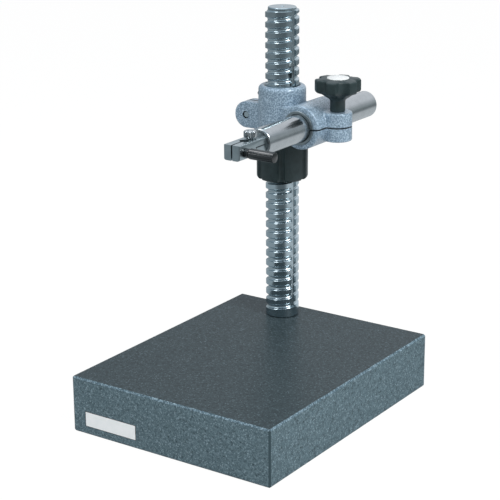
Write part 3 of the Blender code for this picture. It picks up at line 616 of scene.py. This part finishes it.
def makeColumn(plan, thread):
    r, edge, top = plan["radius"], plan["edge"], plan["top"]
    neck, shoulder = plan["neckRadius"], plan["top"] - plan["neckLength"]
    tapRadius, tapTop, tapPoint = plan["tap"]
    drillRadius, drillDepth = plan["centreDrill"]
    profile = [(0, tapPoint), (tapRadius, tapTop), (tapRadius, plan["foot"])]
    profile += [(r - edge, plan["foot"]), (r, plan["foot"] + edge), (r, shoulder - edge / 2)]
    profile += [(r - edge / 2, shoulder), (neck, shoulder), (neck, top - edge), (neck - edge, top)]
    profile += [(drillRadius, top), (0, top - drillDepth)]
    axis, pitch, steps = thread["axis"], thread["pitch"], thread["steps"]
    blank = tool("threadedColumn", moved(lathe(profile, steps), axis), [platedSteel])
    turn, foot = helixAt(plan["grooveFoot"])
    half, gap = plan["keywayWidth"] / 2, plan["keyGap"]
    floor, fillet = plan["keywayFloor"], plan["keywayFillet"]
    keyTurn = (0, 0, plan["keywayTurn"])
    slot = prism(keyOutline(floor, r + plan["overrun"], half, fillet), plan["keywayFoot"],
                 top + plan["keywayPast"])
    keyway = tool("keyway", moved(slot, axis, keyTurn), [platedSteel])
    mesh = shapedByTree(blank, makeThreadTree("columnThread", "DIFFERENCE", True), {
        "Foot": Vector(axis) + Vector((0, 0, foot)), "Start Turn": turn, "Pitch": pitch,
        "Turns": (plan["grooveEnd"] - foot) / pitch, "Steps": steps,
        "Profile Sides": thread["profileSides"], "Path Radius": plan["groovePath"],
        "Profile Radius": plan["grooveRadius"], "Edge Path Radius": plan["edgePath"],
        "Edge Profile Radius": plan["edgeRadius"], "Finish": platedSteel}, [keyway])
    placePiece("threadedColumn", mesh, [platedSteel], "stand", ["column"])
    reach, low, high = plan["key"]
    key = prism(keyOutline(floor + gap, reach, half - gap, fillet - gap), low, high)
    mesh = settled(tool("guideKey", moved(key, axis, keyTurn)))
    piece = placePiece("guideKey", mesh, [darkSteel], "head", ["guide_key"])
    roundEdges(piece, plan["keyEdge"] * mm)


nutPlan = {  # mm
    "foot": 180.0,
    "top": 221.5,
    "radius": 23.0,
    "bore": 15.4,
    "boreEdge": 1.0,
    "sides": 216,
    "recessRadius": 18.1,
    "recessFloor": 219.9,
    "lowEdge": 3.0,
    "highEdge": 0.8,
    "grooves": 6,
    "grooveRadius": 3.4,
    "grooveDepth": 2.4,
    "grooveTurn": -59.0,
    "ridgeRadius": 1.85,
    "ridgePath": 14.95,
    "leadIn": 4.2,
}


def makeNut(plan, thread):
    r, low, high = plan["radius"], plan["lowEdge"], plan["highEdge"]
    foot, top, bore, boreEdge = plan["foot"], plan["top"], plan["bore"], plan["boreEdge"]
    profile = [(bore, foot + boreEdge), (bore + boreEdge, foot)]
    profile += arcPoints((r - low, foot + low), low, -90, 0, 8)
    profile += arcPoints((r - high, top - high), high, 0, 90, 3)
    profile += [(plan["recessRadius"], top), (plan["recessRadius"], plan["recessFloor"]),
                (bore, plan["recessFloor"])]
    grooves = scooped(r, plan["grooves"], plan["grooveRadius"], plan["grooveDepth"], low)
    body = lathe(profile, plan["sides"], grooves)
    blank = tool("feedNut", moved(body, thread["axis"], (0, 0, plan["grooveTurn"])))
    turn, ridgeFoot = helixAt(foot + plan["leadIn"])
    length = plan["recessFloor"] - plan["leadIn"] - ridgeFoot
    mesh = shapedByTree(blank, makeThreadTree("nutThread", "UNION", False), {
        "Foot": Vector(thread["axis"]) + Vector((0, 0, ridgeFoot)), "Start Turn": turn,
        "Pitch": thread["pitch"], "Turns": length / thread["pitch"], "Steps": thread["steps"],
        "Profile Sides": thread["profileSides"], "Path Radius": plan["ridgePath"],
        "Profile Radius": plan["ridgeRadius"], "Finish": blackPlastic})
    placePiece("feedNut", mesh, [blackPlastic], "nut", ["feed_nut"])


makeColumn(columnPlan, threadPlan)
makeNut(nutPlan, threadPlan)

print("cast head")

headPlan = {  # mm, in a frame on the column's axis at the sleeve's lower face
    "place": (-37.4, 100.6, 222.0),
    "sleeve": (21.2, 43.0, 3.6, 1.0),            # radius, height, lip at the top, edge at the foot
    "arm": (37.4, 0.0, 14.3),                    # the arm's axis
    "boss": (19.5, -19.4, 30.8),                 # radius, back and front along the arm
    "bossEdges": (4.5, 1.6),                     # rounding at its back and front
    "ring": (15.0, 20.0, 32.6, 0.3),             # machined ring on the boss's front: radius, ends, edge
    "web": ((5.1, -17.5, 2.6), (31.4, 15.9, 26.9)),
    "columnEar": (-33.6, 12.8, 12.0, 17.2),      # x, height, radius and width
    "armEar": (60.4, -4.6, 12.8, 12.6, 18.0),    # x, y, radius, half its height, neck
    "columnBore": 15.4,
    "armBore": 12.3,
    "inner": 12.0,                               # shapes and slits start inside the column's bore
    "armInner": 6.0,                             # and inside the arm's bore, which clear their ends
    "flares": (1.2, 0.4),                        # at the ends of the column's and the arm's bore
    "columnSlit": 2.0,
    "armSlit": 1.2,
    "screw": (3.4, 3.7),                         # radius where tapped and where clear
    "key": (-12.0, 2.5, 17.9, 4.7, 35.3),        # turn, half width, reach, low and high
    "grain": 0.6,                                # spacing of the mesh that the casting is moulded in
    "softening": 12,
    "smooth": 38,                                # degrees up to which its edges are shaded round
    "overrun": 3.0,
}


def flaredBore(radius, low, high, flare, overrun, sides=96):
    wide = radius + flare + overrun
    return lathe([(0, low - overrun), (wide, low - overrun), (radius, low + flare),
                  (radius, high - flare), (wide, high + overrun), (0, high + overrun)], sides)


def screwHole(radii, low, split, high, overrun):
    return lathe([(0, low - overrun), (radii[0], low - overrun), (radii[0], split), (radii[1], split),
                  (radii[1], high + overrun), (0, high + overrun)], 32)


def makeCasting(plan):
    # All raw shapes in one, moulded together again so that their joints are filleted as in a casting
    sleeveRadius, height, lip, foot = plan["sleeve"]
    armRoot, armZ = plan["arm"][0] + plan["armInner"], plan["arm"][2]
    bossRadius, back, front = plan["boss"]
    backEdge, frontEdge = plan["bossEdges"]
    sleeve = [(0, 0), (sleeveRadius - foot, 0), (sleeveRadius, foot)]
    sleeve += arcPoints((sleeveRadius - lip, height - lip), lip, 0, 90) + [(0, height)]
    boss = [(0, back)] + arcPoints((bossRadius - backEdge, back + backEdge), backEdge, -90, 0)
    boss += arcPoints((bossRadius - frontEdge, front - frontEdge), frontEdge, 0, 90) + [(0, front)]
    earX, earZ, earRadius, earWidth = plan["columnEar"]
    ear = arcPoints((earX, earZ), earRadius, 90, 270, 32)
    ear += [(-plan["inner"], earZ - earRadius), (-plan["inner"], earZ + earRadius)]
    lobeX, lobeY, lobeRadius, half, neck = plan["armEar"]
    spread = math.degrees(math.asin(neck / 2 / lobeRadius))
    lobe = arcPoints((lobeX, lobeY), lobeRadius, spread - 180, 180 - spread, 48)
    lobe = [(armRoot, lobeY - neck / 2)] + lobe + [(armRoot, lobeY + neck / 2)]
    return heaped([
        lathe(sleeve),
        moved(lathe(boss), plan["arm"], (90, 0, 0)),
        block(*plan["web"]),
        moved(prism(ear, -earWidth / 2, earWidth / 2), turn=(90, 0, 0)),
        prism(lobe, armZ - half, armZ + half),
    ])


def makeHead(plan):
    finishes = [hammertone, machinedIron]
    height, inner = plan["sleeve"][1], plan["inner"]
    arm, back = plan["arm"], plan["boss"][1]
    ringRadius, ringBack, ringFront, ringEdge = plan["ring"]
    earX, earZ, earRadius, earWidth = plan["columnEar"]
    lobeX, lobeY, lobeRadius, half = plan["armEar"][:4]
    (columnFlare, armFlare), over = plan["flares"], plan["overrun"]
    turn, keyHalf, keyReach, keyLow, keyHigh = plan["key"]
    head = tool("castHead", makeCasting(plan), finishes)
    mould = head.modifiers.new("mould", "REMESH")
    mould.mode = "VOXEL"
    mould.voxel_size = plan["grain"]
    soften = head.modifiers.new("soften", "SMOOTH")
    soften.iterations = plan["softening"]
    profile = [(0, ringBack), (ringRadius, ringBack), (ringRadius, ringFront - ringEdge),
               (ringRadius - ringEdge, ringFront), (0, ringFront)]
    ring = tool("ring", moved(lathe(profile), arm, (90, 0, 0)), finishes, 1)
    combine(head, ring, "UNION")
    cutters = {
        "columnBore": flaredBore(plan["columnBore"], 0, height, columnFlare, over),
        "armBore": moved(flaredBore(plan["armBore"], back, ringFront, armFlare, over), arm, (90, 0, 0)),
        "keySeat": moved(block((inner, -keyHalf, keyLow), (keyReach, keyHalf, keyHigh)),
                         turn=(0, 0, turn)),
        "columnSlit": block((earX - earRadius - over, -plan["columnSlit"] / 2, -over),
                            (-inner, plan["columnSlit"] / 2, height + over)),
        "armSlit": block((arm[0] + plan["armInner"], -ringFront - over, arm[2] - plan["armSlit"] / 2),
                         (lobeX + lobeRadius + over, -back + over, arm[2] + plan["armSlit"] / 2)),
        "columnScrewHole": moved(screwHole(plan["screw"], -earWidth / 2, 0, earWidth / 2, over),
                                 (earX, 0, earZ), (-90, 0, 0)),
        "armScrewHole": moved(screwHole(plan["screw"], -half, 0, half, over), (lobeX, lobeY, arm[2])),
    }
    tools = [tool(name, shape, finishes, 1) for name, shape in cutters.items()]
    for cutter in tools:
        combine(head, cutter)
    for item in (head, ring, *tools):
        item.location = plan["place"]
    bpy.context.view_layer.update()
    mesh = settled(head, [ring, *tools])
    mesh.transform(Matrix.Translation(Vector(plan["place"]) * mm))
    placePiece("castHead", mesh, finishes, "head", ["head_bracket"], plan["smooth"])


makeHead(headPlan)

print("knobs")

knobPlan = {  # mm, along the knob's own axis from the ear's face
    "radius": 20.0,
    "neckRadius": 6.6,
    "neckEdge": 0.4,
    "bore": 3.4,
    "low": 0.3,
    "flare": ((0.0, -1.2), (0.35, 0.0), (1.5, 1.3), (3.8, 2.6)),  # out from the neck, up from its top
    "coneHeight": 8.4,
    "coneEnd": (5.0, 2.6),       # in from the radius, down from the rim's foot
    "rimHeight": 9.7,
    "lowEdge": (2.4, 0.7),       # rounding under the rim, and its middle above the rim's foot
    "edge": 1.6,
    "crown": 0.8,
    "shoulder": (0.72, 0.45),    # share of the radius, rise above the rim
    "seatEdge": (0.3, 0.2),
    "seatDepth": 1.0,
    "capSeat": 10.1,
    "capRadius": 9.8,
    "capRim": 1.2,
    "capEdge": ((0.0, 0.5), (0.1, 0.15)),        # in from the cap's radius, down from its rim
    "capDome": 1.6,
    "domeShares": (0.96, 0.85, 0.7, 0.5, 0.25),  # of the cap's radius
    "lobes": 6,
    "scoopRadius": 7.0,
    "scoopDepth": 4.0,
    "turn": -46.0,
    "sides": 240,
    "capSides": 96,
}


def knobShape(plan, neckLength):
    r, neck, edge, low = plan["radius"], plan["neckRadius"], plan["edge"], plan["low"]
    neckEdge, seat, (seatIn, seatDown) = plan["neckEdge"], plan["capSeat"], plan["seatEdge"]
    (coneIn, coneDown), (lowEdge, lowRise) = plan["coneEnd"], plan["lowEdge"]
    share, rise = plan["shoulder"]
    neckTop = low + neckLength
    rimLow = neckTop + plan["coneHeight"]
    rimHigh = rimLow + plan["rimHeight"]
    crown = rimHigh + plan["crown"]
    profile = [(plan["bore"], low), (neck - neckEdge, low), (neck, low + neckEdge)]
    profile += [(neck + out, neckTop + up) for out, up in plan["flare"]]
    profile += [(r - coneIn, rimLow - coneDown)]
    profile += arcPoints((r - lowEdge, rimLow + lowRise), lowEdge, -76, 0, 5)
    profile += arcPoints((r - edge, rimHigh - edge), edge, 0, 84, 5)
    profile += [(r * share, rimHigh + rise), (seat + seatIn, crown), (seat, crown - seatDown)]
    profile += [(seat, crown - plan["seatDepth"]), (plan["bore"], crown - plan["seatDepth"])]
    lobes = scooped(r, plan["lobes"], plan["scoopRadius"], plan["scoopDepth"], lowEdge)
    return moved(lathe(profile, plan["sides"], lobes), turn=(0, 0, plan["turn"])), crown


def capShape(plan, crown):
    r, low, rise = plan["capRadius"], crown - plan["seatDepth"] + plan["low"], plan["capDome"]
    high = low + plan["capRim"]
    profile = [(0, low), (r, low)] + [(r - inwards, high - down) for inwards, down in plan["capEdge"]]
    profile += [(r * share, high + rise * (1 - share ** 2)) for share in plan["domeShares"]]
    return lathe(profile + [(0, high + rise)], plan["capSides"])


def makeKnob(plan, name, body, neckLength, place, turn):  # its two nodes are named after the body
    shape, crown = knobShape(plan, neckLength)
    knob = settled(tool(name, moved(shape, place, turn)))
    placePiece(name, knob, [blackPlastic], body, [body + "_knob"])
    cap = settled(tool(name + "Cap", moved(capShape(plan, crown), place, turn)))
    placePiece(name + "Cap", cap, [whitePlastic], body, [body + "_knob_cap"])


knobPlaces = {  # body, neck's length, place and turn
    "armKnob": ("arm_clamp", 10.1, (23.0, 96.0, 248.9), (0, 0, 0)),
    "columnKnob": ("column_clamp", 18.0, (-71.0, 109.2, 234.8), (-90, 0, 0)),
}
for name, where in knobPlaces.items():
    makeKnob(knobPlan, name, *where)

print("arm and its screws")

armPlan = {  # mm; x and z from the bar's axis, y along the arm
    "place": (0.0, 0.0, 236.3),
    "radius": 12.0,
    "back": 183.0,
    "tip": -31.0,
    "edge": 1.0,
    "shoulder": 8.0,
    "rim": 1.8,                  # rounding at the shoulder
    "halfWidth": 8.0,
    "above": 6.0,
    "below": 7.1,
    "topEdge": 0.8,
    "lowEdge": 2.6,
    "noseEdge": 1.0,             # upright edges at the tip
    "stemRadius": 4.0,
    "stemY": -13.0,
    "slit": 1.4,
    "leafLow": 0.5,
    "slot": 0.8,
    "slotFront": -7.2,
    "slotBack": 6.5,
    "fineY": -4.0,
    "fineRadius": 2.3,
    "jawY": -22.0,
    "jawDrop": 1.3,
    "jawRadii": (2.8, 3.1),
    "barSides": 128,
    "boreSides": 72,
    "holeSides": 32,
    "finishEdge": 0.25,
    "overrun": 3.0,
}


def makeArm(plan):
    r, edge, back, shoulder = plan["radius"], plan["edge"], plan["back"], plan["shoulder"]
    rim = plan["rim"]
    bar = [(0, shoulder)] + arcPoints((r - rim, shoulder + rim), rim, -90, 0)
    bar += [(r, back - edge), (r - edge, back), (0, back)]
    half, above, below, over = plan["halfWidth"], plan["above"], plan["below"], plan["overrun"]
    outline = arcPoints((half - plan["topEdge"], above - plan["topEdge"]), plan["topEdge"], 0, 90, 3)
    outline += arcPoints((plan["topEdge"] - half, above - plan["topEdge"]), plan["topEdge"], 90, 180, 3)
    outline += arcPoints((plan["lowEdge"] - half, plan["lowEdge"] - below), plan["lowEdge"], 180, 270, 6)
    outline += arcPoints((half - plan["lowEdge"], plan["lowEdge"] - below), plan["lowEdge"], 270, 360, 6)
    finishes = [hardChrome, milledSteel]
    arm = tool("armBar", moved(lathe(bar, plan["barSides"]), turn=(-90, 0, 0)), finishes)
    shape = moved(prism(outline, -(shoulder + half), -plan["tip"]), turn=(90, 0, 0))
    holder = tool("holder", shape, finishes, 1)
    combine(arm, holder, "UNION")
    wide, leaf, slot = r + over, plan["leafLow"], plan["slot"]
    tip, nose = plan["tip"], plan["noseEdge"]
    corner = arcPoints((half - nose, tip + nose), nose, -90, 0, 4)
    corner += [(half + over, tip + nose), (half + over, tip - over), (half - nose, tip - over)]
    shapes = {
        "noseRight": prism(corner, -below - over, above + over),
        "noseLeft": prism([(-x, y) for x, y in corner], -below - over, above + over),
        "stemSlit": block((-plan["slit"] / 2, tip - over, -below - over),
                          (plan["slit"] / 2, plan["stemY"], above + over)),
        "stemBore": moved(lathe([(0, -below - over), (plan["stemRadius"], -below - over),
                                 (plan["stemRadius"], above + over), (0, above + over)],
                                plan["boreSides"]),
                          (0, plan["stemY"], 0)),
        "flexureSlot": block((-wide, plan["slotFront"], leaf - slot), (wide, plan["slotBack"], leaf)),
        "flexureDrop": block((-wide, plan["slotFront"], -below - over),
                             (wide, plan["slotFront"] + slot, leaf - slot / 2)),
        "fineHole": moved(lathe([(0, leaf - slot / 2), (plan["fineRadius"], leaf - slot / 2),
                                 (plan["fineRadius"], above + over), (0, above + over)],
                                plan["holeSides"]),
                          (0, plan["fineY"], 0)),
        "jawHole": moved(screwHole(plan["jawRadii"], -half, 0, half, over),
                         (0, plan["jawY"], -plan["jawDrop"]), (0, 90, 0)),
    }
    tools = [tool(name, shape, finishes, 1) for name, shape in shapes.items()]
    for cutter in tools:
        combine(arm, cutter)
    mesh = merged(settled(arm, [holder, *tools]))
    mesh.transform(Matrix.Translation(Vector(plan["place"]) * mm))
    piece = placePiece("armBar", mesh, finishes, "arm", ["arm_bar"])
    roundEdges(piece, plan["finishEdge"] * mm)


finePlan = {  # mm, from the holder's top
    "place": (0.0, -4.0, 242.3),
    "tip": -6.0,
    "tipEdge": 0.2,
    "radius": 2.0,
    "headRadius": 5.6,
    "headLow": 0.8,
    "headHigh": 7.0,
    "edge": 0.9,
    "faceEdge": (0.3, 0.2),      # in and up at the head's flat faces
    "dimple": ((2.6, 0.0), (2.2, 0.3), (0.0, 0.5)),  # radius and depth in the head's top
    "teeth": 16,
    "toothDepth": 0.9,
}


def makeFineScrew(plan):
    r, edge, low, high = plan["headRadius"], plan["edge"], plan["headLow"], plan["headHigh"]
    shank, tip, tipEdge = plan["radius"], plan["tip"], plan["tipEdge"]
    inner, (faceIn, faceUp) = r - edge, plan["faceEdge"]
    profile = [(0, tip), (shank - tipEdge, tip), (shank, tip + tipEdge), (shank, low),
               (inner - faceIn, low), (inner, low + faceUp), (r, low + edge), (r, high - edge),
               (inner, high - faceUp), (inner - faceIn, high)]
    profile += [(radius, high - depth) for radius, depth in plan["dimple"]]
    shape = lathe(profile, plan["teeth"] * 6, knurled(r, plan["teeth"], plan["toothDepth"]))
    mesh = settled(tool("fineScrew", moved(shape, plan["place"])))
    placePiece("fineScrew", mesh, [hardChrome], "fine_screw", ["fine_adjust_screw"])


stemKnobPlan = {  # mm, from the jaw's right face
    "place": (8.0, -22.0, 235.0),
    "bore": 2.8,
    "boreEnd": 14.6,
    "low": 0.3,
    "high": 28.5,
    "collar": 3.6,               # plain collar next to the jaw
    "collarRadius": 4.0,
    "collarEdge": 0.3,
    "neck": (0.25, 0.2, 0.25),   # groove at the collar's end: depth, run before it and after it
    "radius": 4.5,
    "edge": 0.7,
    "endShares": (0.35, 0.3),    # of that edge, where its rounding turns
    "teeth": 16,
    "toothDepth": 0.25,
}


def makeStemKnob(plan):
    r, edge, low, high = plan["radius"], plan["edge"], plan["low"], plan["high"]
    collar, inner, collarEdge = plan["collar"], plan["collarRadius"], plan["collarEdge"]
    (depth, before, after), (endIn, endDown) = plan["neck"], plan["endShares"]
    profile = [(plan["bore"], low), (inner - collarEdge, low), (inner, low + collarEdge),
               (inner, low + collar - before), (inner - depth, low + collar),
               (r - edge, low + collar + after), (r, low + collar + after + edge), (r, high - edge),
               (r - edge * endIn, high - edge * endDown), (r - edge, high), (0, high),
               (0, plan["boreEnd"]), (plan["bore"], plan["boreEnd"])]
    shape = lathe(profile, plan["teeth"] * 8, knurled(r, plan["teeth"], plan["toothDepth"]))
    mesh = settled(tool("stemKnob", moved(shape, plan["place"], (0, 90, 0))))
    placePiece("stemKnob", mesh, [glossPlastic], "stem_clamp", ["stem_clamp_knob"])


makeArm(armPlan)
makeFineScrew(finePlan)
makeStemKnob(stemKnobPlan)

print("plate and label")

platePlan = {  # mm
    "rounding": 0.35,
    "label": ((-86.4, 7.6), (-33.0, 20.9)),      # corners in x and z on the front face
    "labelDepth": 0.4,
    "labelRim": 0.5,
    "labelPlay": 0.05,
    "front": -125.0,
    "overrun": 1.0,
}


def makePlate(plan):
    (left, low), (right, high) = plan["label"]
    front, depth, rim, play = plan["front"], plan["labelDepth"], plan["labelRim"], plan["labelPlay"]
    mesh = merged(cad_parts["granite_base"].data)
    mesh.transform(Matrix.Scale(1 / mm, 4))
    stone = bpy.data.objects.new("stonePlate", mesh)
    bpy.context.scene.collection.objects.link(stone)
    pocket = tool("pocket", block((left - play, front - plan["overrun"], low - play),
                                  (right + play, front + depth, high + play)))
    combine(stone, pocket)
    plate = placePiece("stonePlate", merged(settled(stone, [pocket])), [groundGranite], "stand",
                       ["granite_base"])
    roundEdges(plate, plan["rounding"] * mm)
    bm = block((left, front, low), (right, front + depth - play, high))
    face = min(bm.faces, key=lambda item: item.calc_center_median().y)
    bmesh.ops.inset_region(bm, faces=[face], thickness=rim)
    for item in bm.faces:
        item.material_index = 0 if item == face else 1
    mesh = bpy.data.meshes.new("labelPlate")
    bm.to_mesh(mesh)
    bm.free()
    mesh.transform(Matrix.Scale(mm, 4))
    placePiece("labelPlate", mesh, [labelFilm, labelInk], "stand")


makePlate(platePlan)

print("finishes on the other nodes")

plainPlan = {
    "column_base_screw": darkSteel,
    "column_base_washer": platedSteel,
    "column_base_spring_washer": darkSteel,
    "thrust_washer": turnedBrass,
    "column_clamp_screw": platedSteel,
    "arm_clamp_screw": platedSteel,
    "stem_clamp_screw": platedSteel,
}
for node, material in plainPlan.items():
    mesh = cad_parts[node].data
    mesh.materials.clear()
    mesh.materials.append(material)
